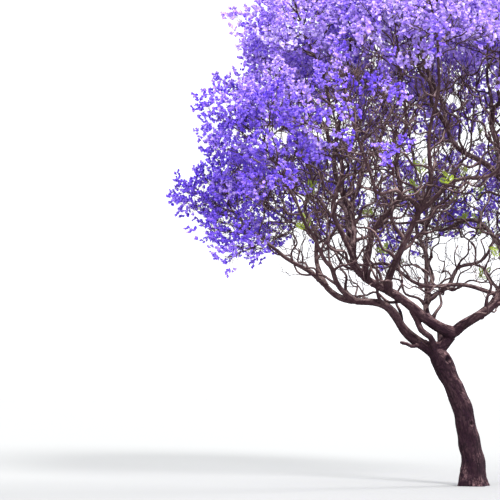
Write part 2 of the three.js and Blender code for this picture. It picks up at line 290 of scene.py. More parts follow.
def furrow(piece, limbs, depth):
    """Sinks the cracks of the bark, swells the wood unevenly, and keeps bark_place, where each point lies
    on its limb as if that were straight, furrow, 0 in a crack, and slender, 1 on thin wood"""
    samples = []
    for limb in limbs:
        count = math.ceil(limb.length / ROUTE_STEP)
        shares = [i / count for i in range(count + 1)]
        for t, (middle, across, around) in zip(shares, limb.route.frames(shares)):
            samples.append((middle, across, around, t * limb.length, limb.radius(t, 0), limb.slender(t)))
    tree = kdtree.KDTree(len(samples))
    for i, sample in enumerate(samples):
        tree.insert(sample[0], i)
    tree.balance()
    mesh = piece.data
    places = np.empty((len(mesh.vertices), 3), np.float32)
    furrows = np.empty(len(mesh.vertices), np.float32)
    slender = np.empty(len(mesh.vertices), np.float32)
    normals = [Vector(normal.vector) for normal in mesh.vertex_normals]
    for i, vertex in enumerate(mesh.vertices):
        nearby = tree.find_n(vertex.co, 5)
        nearest = min(nearby, key=lambda found: found[2] - samples[found[1]][4])
        middle, across, around, along, girth, slender[i] = samples[nearest[1]]
        offset = vertex.co - middle
        along += offset.dot(across.cross(around))
        angle = math.atan2(offset.dot(around), offset.dot(across))
        place = Vector((girth * math.cos(angle), girth * math.sin(angle), along))
        crack = furrow_depth(place, girth)
        swelling = noise.noise(Vector((place.x / 0.2, place.y / 0.2, place.z / 0.3))) * 0.16 * girth
        lift = swelling - depth * (1 - crack) * min(1, girth / 0.1)
        for scar, width in SCARS:
            distance = (vertex.co - scar).length
            lift += 0.15 * width * math.exp(-(((distance - width) / (0.36 * width)) ** 2))
            lift -= 0.6 * width * math.exp(-((distance / (0.62 * width)) ** 2))
            crack *= 1 - 0.85 * math.exp(-((distance / (0.7 * width)) ** 2))
        vertex.co += normals[i] * lift
        places[i] = place
        furrows[i] = crack
    add_attributes(mesh, {"bark_place": places, "furrow": furrows, "slender": slender})


def feed(tree, socket, value):
    """Links another node's output to an input, or gives the input a plain value"""
    if isinstance(value, bpy.types.NodeSocket):
        tree.links.new(value, socket)
    else:
        socket.default_value = value


def add_node(tree, kind, inputs=None, **settings):
    """A node with its settings and its inputs, each a plain value or another node's output"""
    added = tree.nodes.new("ShaderNode" + kind)
    for name, value in settings.items():
        setattr(added, name, value)
    for name, value in (inputs or {}).items():
        feed(tree, added.inputs[name], value)
    return added


def noise_at(tree, place, scale, detail):
    return add_node(tree, "TexNoise", {"Vector": place, "Scale": scale, "Detail": detail}).outputs[0]


def ranged(tree, value, to_low, to_high, from_low=0, from_high=1):
    """A value carried over from one range to another and kept within it"""
    ends = {"From Min": from_low, "From Max": from_high, "To Min": to_low, "To Max": to_high}
    return add_node(tree, "MapRange", {"Value": value, **ends}).outputs[0]


def worked_out(tree, operation, *values, kept=False):
    """What a piece of arithmetic gives, kept between 0 and 1 if asked for"""
    return add_node(tree, "Math", dict(enumerate(values)), operation=operation, use_clamp=kept).outputs[0]


def new_group(name, **inputs):
    """An empty node group for a surface, what it is given and what it has to be fed"""
    group = bpy.data.node_groups.new(name, "ShaderNodeTree")
    outputs = {"Color": "Color", "Roughness": "Float", "Height": "Float"}
    for way, sockets in (("INPUT", inputs), ("OUTPUT", outputs)):
        for socket, kind in sockets.items():
            group.interface.new_socket(socket, in_out=way, socket_type="NodeSocket" + kind)
    return group, group.nodes.new("NodeGroupInput").outputs, group.nodes.new("NodeGroupOutput").inputs


def blend_colours(tree, share, a, b, mode="MIX"):
    return add_node(tree, "Mix", {0: share, 6: a, 7: b}, data_type="RGBA", blend_type=mode).outputs[2]


# Bark colour and height: dark cracks, plates between them, and paler streaks on upper sides, partly
# weathering and partly a painted highlight where light falls from above. Each of the three has a colour on
# the trunk and one on thin wood, where the painted highlight reaches further down the sides.
CRACK = (0.006, 0.003, 0.005, 1), (0.022, 0.012, 0.015, 1)
FACE = (0.016, 0.005, 0.0105, 1), (0.054, 0.025, 0.032, 1)
# The third pair colours weathered streaks and also the painted highlight on upper sides
WORN_AND_HIGHLIGHT = (0.235, 0.135, 0.14, 1), (0.59, 0.42, 0.39, 1)
bark, given, result = new_group(
    "bark grain and painted highlight", Place="Vector", Furrow="Float", Upward="Float", Slender="Float")
stretched = add_node(bark, "Mapping", {"Vector": given["Place"], "Scale": (1, 1, 0.22)}).outputs[0]
streaks = noise_at(bark, stretched, scale=26, detail=4)
patches = noise_at(bark, given["Place"], scale=3.2, detail=2)
pores = noise_at(bark, given["Place"], scale=140, detail=3)
worn = ranged(bark, streaks, 0, 1, from_low=0.4, from_high=0.6)
patchy = ranged(bark, patches, 0, 0.16, from_low=0.35, from_high=0.7)
# Painted highlight: bark facing upwards is paler, as if lit from above, and on thin wood it reaches lower
# down the sides
highlight_low_end = ranged(bark, given["Slender"], 0.15, -0.15)
painted_highlight_side = ranged(bark, given["Upward"], 0, 1, from_low=highlight_low_end, from_high=0.75)
weather_and_highlight = worked_out(bark, "ADD", painted_highlight_side, patchy)
worn_and_highlight_streaks = worked_out(bark, "MULTIPLY", worn, weather_and_highlight, kept=True)
crack, face, worn_and_highlight_face = (blend_colours(bark, given["Slender"], *pair) for pair in (CRACK, FACE, WORN_AND_HIGHLIGHT))
plate = blend_colours(bark, worn_and_highlight_streaks, face, worn_and_highlight_face)
cracked = blend_colours(bark, given["Furrow"], crack, plate)
speckled = blend_colours(bark, 1.0, cracked, ranged(bark, pores, 0.82, 1.16), "MULTIPLY")
feed(bark, result["Color"], speckled)
feed(bark, result["Roughness"], ranged(bark, given["Furrow"], 0.98, 0.8))
feed(bark, result["Height"], worked_out(bark, "MULTIPLY_ADD", pores, 0.35, streaks))


def new_material(name):
    """A material with nodes, and its tree of them"""
    material = bpy.data.materials.new(name)
    material.use_nodes = True
    return material, material.node_tree


def finish_shader(tree, colour, roughness, height, relief, strength, specular=0.5):
    """Feeds a material's own shader, with a bump of that relief in metres and strength"""
    bump = add_node(tree, "Bump", {"Height": height, "Distance": relief, "Strength": strength})
    shader = tree.nodes["Principled BSDF"]
    feed(tree, shader.inputs["Base Color"], colour)
    feed(tree, shader.inputs["Roughness"], roughness)
    feed(tree, shader.inputs["Normal"], bump.outputs[0])
    feed(tree, shader.inputs["Specular IOR Level"], specular)


def bark_material(name, relief):
    """Bark over the grain group, whose colour also paints a highlight on upward-facing sides, with a bump of
    that relief in metres
    """
    material, tree = new_material(name)
    place, near_crack, slender = (
        add_node(tree, "Attribute", attribute_name=attribute).outputs
        for attribute in ("bark_place", "furrow", "slender")
    )
    # The normal's upward part, which places the painted highlight on upper sides
    facing = add_node(tree, "SeparateXYZ", {0: add_node(tree, "NewGeometry").outputs["Normal"]})
    grain = add_node(tree, "Group", node_tree=bark, inputs={
        "Place": place["Vector"], "Furrow": near_crack["Fac"],
        "Upward": facing.outputs["Z"], "Slender": slender["Fac"]})
    finish_shader(tree, *grain.outputs, relief, strength=0.7, specular=0.1)
    return material


old_bark = bark_material("old bark", relief=0.006)

FOOT_SHARE = 0.34  # of each bough is grown on the trunk piece
SLIP = 0.05  # is the share of it by which the upper wood slips over that foot's end
TRUNK_VOXEL = 0.0105


def thin_at_end(share):
    return 1.012 - 0.06 * smoothstep(share, 0.82, 1)


class Stub:
    """A limb lost long ago, cut or grown back into another: its route and its two radii"""

    def __init__(self, start, leave, end, arrive, base, tip):
        self.route = Route(start, leave, end, arrive, sway=0.03, seed=5)
        self.base, self.tip, self.length = base, tip, self.route.length()

    def radius(self, t, angle=0):
        return lerp(self.base, self.tip, smoothstep(t, 0, 0.4)) * (1 - 0.35 * smoothstep(t, 0.93, 1))

    def slender(self, t):
        return 0.25 * smoothstep(t, 0.1, 0.5)


shoulder = wood["trunk"].route.point(0.86) + Vector((-0.06, -0.1, 0))
fused_end = wood["middle_bough"].route.point(0.17)
cut_foot = wood["left_bough"].route.point(0.13)
cut_end = cut_foot + Vector((-0.5, -0.12, 0.1))
stubs = [
    Stub(shoulder, direction(200, 80), fused_end, direction(200, 75), base=0.062, tip=0.055),
    Stub(cut_foot, direction(200, 4), cut_end, direction(170, 22), base=0.06, tip=0.034),
]
trunk_tubes = [bent_tube("trunk_wood", wood["trunk"], sides=56, steps=64)]
for bough in boughs:
    trunk_tubes.append(
        bent_tube(bough.name, bough, sides=28, steps=30, last=FOOT_SHARE, swell=thin_at_end))
trunk_tubes += [bent_tube("stub", stub, sides=16, steps=12) for stub in stubs]
trunk_wood = grown_together("trunk_wood", trunk_tubes, TRUNK_VOXEL)
furrow(trunk_wood, [wood["trunk"]] + boughs + stubs, depth=0.007)
bpy.ops.object.mode_set(mode="EDIT")
bpy.ops.mesh.select_all(action="SELECT")
bpy.ops.mesh.bisect(plane_co=(0, 0, 0), plane_no=(0, 0, 1), use_fill=True, clear_inner=True, threshold=1e-6)
bpy.ops.object.mode_set(mode="OBJECT")
trunk_wood.data.materials.append(old_bark)
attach(trunk_wood, "root")
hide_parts("trunk")

# Upper wood. The boughs wind on from their feet and limbs leave them all the way up, each thinner than
# what it leaves and with smoother bark. It is made as the trunk is, with a coarser skin.
LIMBS = [
    ("left_front_limb", "left_bough", 0.58, (215, 38), (215, 55), (-3.65, -2.1, 5.65), 0.054, 0.024, 7),
    ("left_upper_limb", "left_bough", 0.74, (150, 66), (150, 70), (-3.35, 0.25, 7.1), 0.048, 0.024, 29),
    ("left_riser", "middle_bough", 0.37, (330, 72), (255, 68), (-1.45, -2.35, 7.35), 0.062, 0.026, 31),
    ("middle_front_limb", "middle_bough", 0.46, (190, 62), (205, 68), (-3.05, -1.35, 8.1),
     0.054, 0.024, 37),
    ("middle_rear_limb", "middle_bough", 0.5, (120, 50), (140, 64), (-2.5, 1.85, 7.3), 0.054, 0.024, 41),
    ("middle_top_limb", "middle_bough", 0.64, (60, 62), (85, 75), (-1.15, 1.05, 8.6), 0.046, 0.024, 43),
    ("crossing_limb", "right_bough", 0.36, (165, 14), (150, 36), (-3.5, 2.0, 5.25), 0.044, 0.024, 47),
    ("arching_limb", "right_bough", 0.47, (120, 74), (150, 24), (-2.3, 3.2, 5.5), 0.052, 0.024, 17),
    ("right_low_limb", "right_bough", 0.3, (15, 28), (20, 38), (2.5, 0.85, 5.35), 0.056, 0.026, 19),
    ("right_front_limb", "right_bough", 0.4, (325, 32), (325, 45), (2.3, -1.6, 5.7), 0.054, 0.024, 71),
    ("right_rear_limb", "right_bough", 0.62, (70, 46), (60, 62), (1.85, 1.6, 7.15), 0.048, 0.024, 79),
    ("inner_riser", "right_bough", 0.74, (176, 6), (150, 80), (-1.0, -0.15, 8.85), 0.07, 0.028, 53),
    ("inner_front_limb", "inner_riser", 0.62, (210, 50), (235, 72), (-1.25, -1.6, 8.65), 0.046, 0.024, 59),
    ("outer_riser", "inner_riser", 0.28, (60, 82), (85, 84), (0.45, 0.6, 8.5), 0.06, 0.026, 61),
    ("outer_front_limb", "outer_riser", 0.48, (290, 55), (275, 68), (0.45, -1.4, 8.2), 0.046, 0.024, 67),
    ("front_left_limb", "front_bough", 0.42, (235, 40), (240, 58), (-2.3, -3.3, 6.05), 0.048, 0.024, 83),
    ("front_right_limb", "front_bough", 0.4, (335, 48), (300, 55), (1.15, -2.9, 6.9), 0.046, 0.024, 89),
    ("back_right_limb", "back_bough", 0.5, (40, 42), (50, 45), (1.45, 2.85, 5.5), 0.052, 0.024, 97),
    ("back_upper_limb", "back_bough", 0.56, (110, 72), (120, 70), (-0.9, 2.65, 7.15), 0.05, 0.024, 101),
    ("back_top_limb", "back_upper_limb", 0.4, (30, 55), (70, 70), (0.45, 2.05, 7.65), 0.042, 0.022, 103),
]
limbs = boughs + grow(LIMBS)
UPPER_VOXEL = 0.013
TUBE_STEP = 0.09


def thin_at_start(share):
    return 1.0 - 0.06 * (1 - smoothstep(share, 0, 0.09))


def bough_of(limb):
    """The bough that a limb stands on, directly or through other limbs"""
    while limb not in boughs:
        limb = wood[limb.parent]
    return limb


UPPER_WOOD = {
    "left_upper_wood": ["left_bough", "middle_bough"],
    "right_upper_wood": ["right_bough", "back_bough", "front_bough"],
}
for piece_name, carried in UPPER_WOOD.items():
    grown = [limb for limb in limbs if bough_of(limb).name in carried]
    tubes = []
    for limb in grown:
        first, swell = (FOOT_SHARE - SLIP, thin_at_start) if limb in boughs else (0, even)
        steps = max(14, round((1 - first) * limb.length / TUBE_STEP))
        tubes.append(bent_tube(limb.name, limb, sides=18, steps=steps, first=first, swell=swell))
    upper_wood = grown_together(piece_name, tubes, UPPER_VOXEL)
    furrow(upper_wood, grown, depth=0.006)
    upper_wood.data.materials.append(old_bark)
    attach(upper_wood, "root")
    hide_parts(*[limb.name for limb in grown])

# Side branches. Under the blossom an old crown is a tangle of bare, winding branches, each forking twice
# more into thin wood. They are tubes worked out as arrays, sunk in what they grow from, in two pieces.
GOLDEN_ANGLE = 137.5
LIMB_CLEARANCE = 0.012
CROWN_MIDDLE = np.array((-0.85, -0.05, 4.9))
CROWN_RADII = np.array((4.35, 4.25, 5.0))
BARE_LEFT, BARE_RIGHT = (-3.8, -2.3), (0.0, 1.2)  # where the bare part of the crown's face fades in and out
BARE_BACK, BARE_TOP = (0.2, 1.6), (6.8, 7.9)
BARE_DROP = 1.8  # how much lower than it lies a bare place counts as, for its blossom
WOOD_STEPS = 80
wood_steps = [(limb, i / WOOD_STEPS) for limb in wood.values() for i in range(WOOD_STEPS + 1)]
wood_points = np.array([limb.route.point(t) for limb, t in wood_steps])
wood_radii = np.array([limb.radius(t, 0) for limb, t in wood_steps])


def clear_of_limbs(start, end, thickness):
    """The clear distance between a rod from one point to another and the nearest limb's bark"""
    start, end = np.array(start), np.array(end)
    line = end - start
    share = np.clip((wood_points - start) @ line / (line @ line), 0, 1)
    distance = np.linalg.norm(wood_points - start - share[:, None] * line, axis=1)
    return (distance - wood_radii).min() - thickness


def outwardness(point):
    """0 at the middle of the crown and 1 on its outer face, whose upper half is a dome"""
    return float(np.linalg.norm((np.array(point) - CROWN_MIDDLE) / CROWN_RADII))


def bareness(point):
    """1 on the right of the crown's face, where bare twigs climb high, and 0 at its top, sides and back"""
    right = smoothstep(point.x, *BARE_LEFT) * (1 - smoothstep(point.x, *BARE_RIGHT))
    return right * (1 - smoothstep(point.y, *BARE_BACK)) * (1 - smoothstep(point.z, *BARE_TOP))


def bloom_height(point):
    """The height a place counts as for its blossom: the higher, the fuller"""
    return point.z - BARE_DROP * bareness(point)


def perpendicular(axis, turn):
    """A direction square to an axis, turned round it by so many degrees"""
    return Matrix.Rotation(math.radians(turn), 3, axis) @ axis.cross(UP).normalized()


def tube_arrays(paths, radii, sides):
    """Closed tubes along rows of points, as arrays: points, triangles, and the attributes of bark"""
    paths, radii = np.array(paths, float), np.array(radii, float)
    count, rings = radii.shape
    along = np.gradient(paths, axis=1)
    along /= np.linalg.norm(along, axis=2, keepdims=True)
    across = np.cross(along[:, 0], np.array((0.31, 0.52, 0.8)))
    angles = np.arange(sides) * 2 * np.pi / sides
    points = np.empty((count, rings, sides, 3))
    for ring in range(rings):
        heading = along[:, ring]
        across = across - (across * heading).sum(1)[:, None] * heading
        across /= np.linalg.norm(across, axis=1)[:, None]
        around = np.cross(heading, across)
        circle = across[:, None] * np.cos(angles)[:, None] + around[:, None] * np.sin(angles)[:, None]
        points[:, ring] = paths[:, ring, None] + circle * radii[:, ring, None, None]
    run = np.linalg.norm(np.diff(paths, axis=1, prepend=paths[:, :1]), axis=2).cumsum(1)
    places = np.empty((count, rings, sides, 3))
    places[..., 0] = radii[..., None] * np.cos(angles) + np.arange(count)[:, None, None] * 0.37
    places[..., 1] = radii[..., None] * np.sin(angles)
    places[..., 2] = run[..., None]
    one = []
    for ring in range(rings - 1):
        for side in range(sides):
            a, b = ring * sides + side, ring * sides + (side + 1) % sides
            one += [(a, b, b + sides), (a, b + sides, a + sides)]
    for side in range(1, sides - 1):
        last = (rings - 1) * sides
        one += [(0, side + 1, side), (last, last + side, last + side + 1)]
    triangles = np.array(one)[None] + (np.arange(count) * rings * sides)[:, None, None]
    return points.reshape(-1, 3), triangles.reshape(-1, 3), places.reshape(-1, 3)


def put(name, data):
    """A new object in the scene"""
    added = bpy.data.objects.new(name, data)
    bpy.context.collection.objects.link(added)
    return added


def mesh_piece(name, points, triangles, material, attributes):
    """A mesh object made straight from arrays, with its attributes of each point"""
    mesh = bpy.data.meshes.new(name)
    mesh.vertices.add(len(points))
    mesh.vertices.foreach_set("co", points.astype(np.float32).ravel())
    mesh.loops.add(triangles.size)
    mesh.loops.foreach_set("vertex_index", triangles.astype(np.int32).ravel())
    mesh.polygons.add(len(triangles))
    mesh.polygons.foreach_set("loop_start", np.arange(0, triangles.size, 3, dtype=np.int32))
    mesh.update(calc_edges=True)
    add_attributes(mesh, attributes)
    mesh.materials.append(material)
    return put(name, mesh)


def bark_attributes(places):
    """The attributes of thin young bark, which is the same all over"""
    return {"bark_place": places, "furrow": np.full(len(places), 0.75), "slender": np.ones(len(places))}


def joined(parts):
    """The points and triangles of many small meshes as those of one"""
    starts = np.cumsum([0] + [len(points) for points, _ in parts])
    points = np.concatenate([points for points, _ in parts])
    return points, np.concatenate([triangles + start for (_, triangles), start in zip(parts, starts)])


def branch_piece(name, bundles, material):
    """One mesh of several bundles of tubes, each a list of paths, their radii and a number of sides"""
    tubes = [tube_arrays(*bundle) for bundle in bundles]
    points, triangles = joined([tube[:2] for tube in tubes])
    places = np.concatenate([tube[2] for tube in tubes])
    return mesh_piece(name, points, triangles, material, bark_attributes(places))


def path_of(route, rings):
    return [route.point(i / (rings - 1)) for i in range(rings)]


def tapers(base, tip, rings):
    return [lerp(base, tip, (i / (rings - 1)) ** 0.8) for i in range(rings)]


def add_tube(bundle, route, rings, base, tip):
    """Adds a tapering tube along a route to a bundle's paths and radii"""
    bundle[0].append(path_of(route, rings))
    bundle[1].append(tapers(base, tip, rings))


BRANCH_SPACING = 0.3
CROWN_BOTTOM = 3.1  # over the fork the crown's skirt is this high, and it rises further out
SKIRT_START, SKIRT_RISE = 1.2, 0.45
BRANCH_SIDES = 7
BRANCH_RINGS, SHOOT_RINGS, TWIG_RINGS = 22, 9, 3
BRANCH_RADIUS, SHOOT_RADII, TWIG_RADII = 0.034, (0.0095, 0.0045), (0.0048, 0.003)
BRANCH_LENGTHS, SHOOT_LENGTHS = (1.7, 0.8), (0.75, 0.4)  # at the foot and the tip of what they leave
TWIG_LENGTH, TWIG_TILT = 0.24, 0.75
TWIGS_FADE = (5.5, 8.0)  # the heights between which the tangle's twigs give way to blossom
SHOOTS_A_BRANCH, TWIGS_A_SHOOT = 5, 3
BRANCH_SHARES = [(i / (BRANCH_RINGS - 1)) ** 1.35 for i in range(BRANCH_RINGS)]
branches, shoots, twigs = ([], []), ([], []), ([], [])
branch_barks = []  # how slender each branch's bark is at its shares, from its parent's own to young
tangle_tips = []  # where thin wood of the tangle ends, and its heading there


def collared(thickness, length, parent_radius):
    """The radii of a branch at its shares: it tapers, and swells where it comes out of its parent"""
    radii = []
    for share in BRANCH_SHARES:
        outside = max(0, share * length - parent_radius)
        collar = 0.55 * thickness * math.exp(-outside / (1.4 * thickness))
        radii.append(lerp(thickness, 0.01, share**0.8) + collar)
    return radii


def in_crown(point):
    """Whether thin wood may end at a point: behind the blossom of the dome and above the crown's skirt"""
    out = math.hypot(point.x - CROWN_MIDDLE[0], point.y - CROWN_MIDDLE[1])
    if point.z < CROWN_BOTTOM + SKIRT_RISE * max(0, out - SKIRT_START):
        return False
    return outwardness(point) < lerp(0.98, 0.88, smoothstep(point.z, 5.0, 7.0))


def fork_off(parent, at, turn, tilt, length, sway, seed):
    """A branch off a route at a share of it, or None if it would hang, hit a limb or leave the crown"""
    axis = parent.tangent(at)
    out = perpendicular(axis, turn)
    leave = (axis * math.cos(tilt) + out * math.sin(tilt) + UP * 0.12).normalized()
    start = parent.point(at)
    for share in (1, 0.75, 0.5):
        end = start + (leave * 0.9 + UP * 0.22) * (length * share)
        route = Route(start, leave, end, (leave * 0.8 + UP * 0.5).normalized(), sway, seed)
        halfway = route.point(0.45)
        hangs = end.z < start.z - 0.1 * length
        if in_crown(end) and not hangs and clear_of_limbs(halfway, end, 0.02) > 0.02:
            return route
    return None


dice = np.random.default_rng(7)
for limb in limbs:
    count = round(limb.length / BRANCH_SPACING)
    for k in range(count):
        at = lerp(0.16, 0.97, (k + dice.random()) / count)
        turn = GOLDEN_ANGLE * k + 50 * dice.random()
        tilt = math.radians(dice.uniform(42, 72))
        length = lerp(*BRANCH_LENGTHS, at) * dice.uniform(0.7, 1.25)
        branch = fork_off(limb.route, at, turn, tilt, length, 0.055, dice.integers(1, 9999))
        if branch is None:
            continue
        thickness = min(0.55 * limb.radius(at), BRANCH_RADIUS)
        branches[0].append([branch.point(share) for share in BRANCH_SHARES])
        branches[1].append(collared(thickness, branch.length(), limb.radius(at)))
        youth = limb.slender(at)
        branch_barks.append([lerp(youth, 1, smoothstep(share, 0.05, 0.4)) for share in BRANCH_SHARES])
        for m in range(SHOOTS_A_BRANCH):
            place = lerp(0.3, 1, (m + dice.random()) / SHOOTS_A_BRANCH)
            reach = lerp(*SHOOT_LENGTHS, place) * dice.uniform(0.7, 1.3)
            lean = math.radians(dice.uniform(30, 60))
            turn = GOLDEN_ANGLE * m + 60 * dice.random()
            shoot = fork_off(branch, place, turn, lean, reach, 0.045, dice.integers(1, 9999))
            if shoot is None:
                continue
            add_tube(shoots, shoot, SHOOT_RINGS, *SHOOT_RADII)
            tip = shoot.point(1)
            tangle_tips.append((tip, shoot.tangent(1)))
            for n in range(round(lerp(TWIGS_A_SHOOT, 0, smoothstep(bloom_height(tip), *TWIGS_FADE)))):
                place = lerp(0.35, 0.95, (n + dice.random()) / TWIGS_A_SHOOT)
                turn = GOLDEN_ANGLE * n + 90 * dice.random()
                twig = fork_off(shoot, place, turn, TWIG_TILT, TWIG_LENGTH, 0.05, dice.integers(1, 9999))
                if twig is not None:
                    add_tube(twigs, twig, TWIG_RINGS, *TWIG_RADII)

young_bark = bark_material("young bark", relief=0.002)
side_branches = branch_piece("side_branches", [(*branches, BRANCH_SIDES)], young_bark)
slender = np.repeat(np.array(branch_barks, np.float32).ravel(), BRANCH_SIDES)
side_branches.data.attributes["slender"].data.foreach_set("value", slender)
bare_shoots = branch_piece("bare_shoots", [(*shoots, 4), (*twigs, 3)], young_bark)
for piece in (side_branches, bare_shoots):
    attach(piece, "root")

# Twigs of the masses. Each limb carries on as a stem, with twigs round it at the golden angle and sprays
# of shoots on each twig. They grow by the solids' own rule, so they fill the same space, and go on finer.
STEM_LENGTH = 0.95 * SPREAD
TWIGS = 5
TWIG_RADIUS = 0.027
STEM_RINGS, MASS_TWIG_RINGS = 9, 7
MASS_TWIG_RADII, FINER_RADII = (0.018, 0.008), (0.014, 0.008)
TWIG_REACH = 0.54
SPRAY_LENGTH = 0.82
SPRAY_WIDTH = 0.52
SPRAY_THICKNESS = 0.26
SPRAY_REACH = 1.13 * SPREAD
SIDE_SPRAYS = (0.45, 0.8)
SIDE_SPRAY_SIZE = 0.88
SPACE_MARGIN = 0.006
FINER_TWIGS = 7
FINER_SIZE = 0.72
centres = np.array([limb.centre for limb in limbs])


def fits_space(index, points, reach):
    """Whether points lie nearer to this mass's middle than to any other's, and within its reach"""
    own = centres[index]
    for point in np.array(points):
        apart = np.linalg.norm(point - own)
        if apart > reach:
            return False
        nearer = ((point - centres) ** 2).sum(1) - apart**2
        between = 2 * np.linalg.norm(centres - own, axis=1)
        between[index] = 1
        nearer[index] = 1
        if (nearer / between).min() < SPACE_MARGIN:
            return False
    return True


def fitting_length(index, root, along, length, thickness, reach):
    """The longest of a few lengths that keeps to the mass's own space and off the limbs"""
    side = along.cross(UP).normalized() * thickness
    for share in (1, 0.8, 0.62, 0.45):
        end = root + along * (share * length)
        middle = root.lerp(end, 0.45)
        start = root + along * (0.12 * share * length)
        if not fits_space(index, (end, middle + side, middle - side), reach):
            continue
        if clear_of_limbs(start, end, thickness) > LIMB_CLEARANCE:
            return share * length
    return 0


class Spray:
    """A group of blossom heads on one shoot, in the space of a kite"""

    def __init__(self, root, along, length, roll, finer):
        self.root, self.along, self.length, self.finer = root, along, length, finer
        self.wide = Matrix.Rotation(roll, 3, along) @ UP.cross(along).normalized()
        self.over = along.cross(self.wide)


stems, mass_twigs, sprays = ([], []), ([], []), []


def add_spray(index, root, along, length, roll, finer):
    """A spray on the mass of that index, as long as it fits, if it fits at all"""
    fitted = fitting_length(index, root, along, length, SPRAY_WIDTH / 2, SPRAY_REACH)
    if fitted:
        sprays.append(Spray(root, along, fitted, roll, finer))


for index, limb in enumerate(limbs):
    draw = seeded(1000 + 7 * round(limb.seed))
    entry = limb.route.tangent(1)
    foot = limb.route.point(1)
    head = foot + entry * STEM_LENGTH + UP * (0.06 * STEM_LENGTH)
    stem = Route(foot, entry, head, (entry + UP * 0.4).normalized())
    stems[0].append([foot - entry * 0.06] + path_of(stem, STEM_RINGS))
    stems[1].append([limb.tip * 0.94] + tapers(limb.tip, 0.012, STEM_RINGS))
    for i in range(TWIGS + FINER_TWIGS):
        finer = i >= TWIGS
        k = i - TWIGS
        share = lerp(0.12, 0.9, k / (FINER_TWIGS - 1)) if finer else lerp(0.22, 0.97, i / (TWIGS - 1))
        turn = GOLDEN_ANGLE * i + 30 * next(draw)
        tilt = math.radians(lerp(96, 30, share) + 16 * (next(draw) - 0.5))
        stretch = 0.9 + 0.2 * next(draw)
        lengths = [SPRAY_LENGTH * (0.85 + 0.3 * next(draw)) for _ in range(3)]
        rolls = [math.pi * (next(draw) - 0.5) for _ in range(3)]
        axis = stem.tangent(share)
        out = perpendicular(axis, turn)
        along = (axis * math.cos(tilt) + out * math.sin(tilt) + UP * 0.2).normalized()
        root = stem.point(share)
        offset = root - limb.centre
        inward = offset.dot(along)
        run = -inward + math.sqrt(inward**2 - offset.length_squared + SPREAD**2)
        length = fitting_length(index, root, along, TWIG_REACH * run * stretch, TWIG_RADIUS, SPREAD)
        if not length:
            continue
        end = root + along * length
        bowed = Route(root, along, end, along, sway=0.03, seed=i + 2)
        add_tube(mass_twigs, bowed, MASS_TWIG_RINGS, *(FINER_RADII if finer else MASS_TWIG_RADII))
        size = FINER_SIZE if finer else 1
        add_spray(index, end, along, size * lengths[0], rolls[0], finer)
        flat = along.cross(UP).normalized()
        for k, place in enumerate(SIDE_SPRAYS):
            sideways = (along + flat * (-1.7 if k else 1.7) + UP * 0.25).normalized()
            side_length = size * SIDE_SPRAY_SIZE * lengths[k + 1]
            add_spray(index, root + along * (place * length), sideways, side_length, rolls[k + 1], finer)
    add_spray(index, stem.point(1), stem.tangent(1), SPRAY_LENGTH, 0, False)

# Each spray is a shoot with side shoots that widen to the kite's outline, and a blossom head on each end.
# A spray that would stand out of the crown's dome is left off.
DOME_EDGE = 1.07
TWIG_DOME_EDGE = 0.97
SPRAY_RADII, SIDE_SHOOT_RADII, BARE_TWIG_RADII = (0.008, 0.0045), [0.005, 0.0035], [0.007, 0.0025]
SPRAY_RINGS = 5
SIDE_SHOOTS, FINER_SIDE_SHOOTS, BARE_TWIGS = 7, 5, 14  # on one spray
BARE_TWIGS_FADE = (4.5, 8.0)
spray_axes, side_shoots, bare_twigs, heads = ([], []), ([], []), ([], []), []
dice = np.random.default_rng(13)
for number, spray in enumerate(sprays):
    rise = UP * (0.07 * spray.length)
    axis = Route(spray.root, spray.along, spray.root + spray.along * (0.86 * spray.length) + rise,
                 (spray.along + UP * 0.35).normalized(), sway=0.03, seed=number + 1)
    if outwardness(axis.point(1)) > DOME_EDGE:
        continue
    add_tube(spray_axes, axis, SPRAY_RINGS, *SPRAY_RADII)
    heads.append((number, axis.point(0.97), axis.tangent(1)))
    count = FINER_SIDE_SHOOTS if spray.finer else SIDE_SHOOTS
    for k in range(count):
        place = lerp(0.22, 0.92, (k + 0.5 * dice.random()) / count)
        turn = math.radians(GOLDEN_ANGLE * k + 40 * dice.random())
        size = spray.length / SPRAY_LENGTH
        kite = 1 - abs(place - 0.55) / 0.62
        sideways = spray.wide * (0.5 * SPRAY_WIDTH * math.cos(turn))
        sideways += spray.over * (0.62 * SPRAY_THICKNESS * math.sin(turn))
        reach = sideways * (size * kite * dice.uniform(0.6, 0.9))
        start = axis.point(place)
        end = start + reach + spray.along * (0.13 * size) + UP * 0.02
        side_shoots[0].append([start, end])
        side_shoots[1].append(SIDE_SHOOT_RADII)
        heading = (reach.normalized() * 0.75 + spray.along * 0.45 + UP * 0.45).normalized()
        heads.append((number, end, heading))
    # Low in the crown more of the finest twigs have no blossom
    for k in range(round(lerp(BARE_TWIGS, 0, smoothstep(bloom_height(spray.root), *BARE_TWIGS_FADE)))):
        start = axis.point(dice.uniform(0, 0.9))
        out = perpendicular(spray.along, GOLDEN_ANGLE * k + 60 * dice.random())
        leave = (spray.along + out * dice.uniform(0.5, 1.4) + UP * 0.15).normalized()
        end = start + leave * dice.uniform(0.14, 0.34)
        if outwardness(end) < TWIG_DOME_EDGE:
            bare_twigs[0].append([start, end])
            bare_twigs[1].append(BARE_TWIG_RADII)

mass_wood = branch_piece(
    "mass_twigs",
    [(*stems, 9), (*mass_twigs, 6), (*spray_axes, 4), (*side_shoots, 3), (*bare_twigs, 3)],
    young_bark,
)
bloom_nodes = [name for name in frame["nodes"] if name.endswith("_bloom")]
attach(mass_wood, "root")
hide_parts(*bloom_nodes)

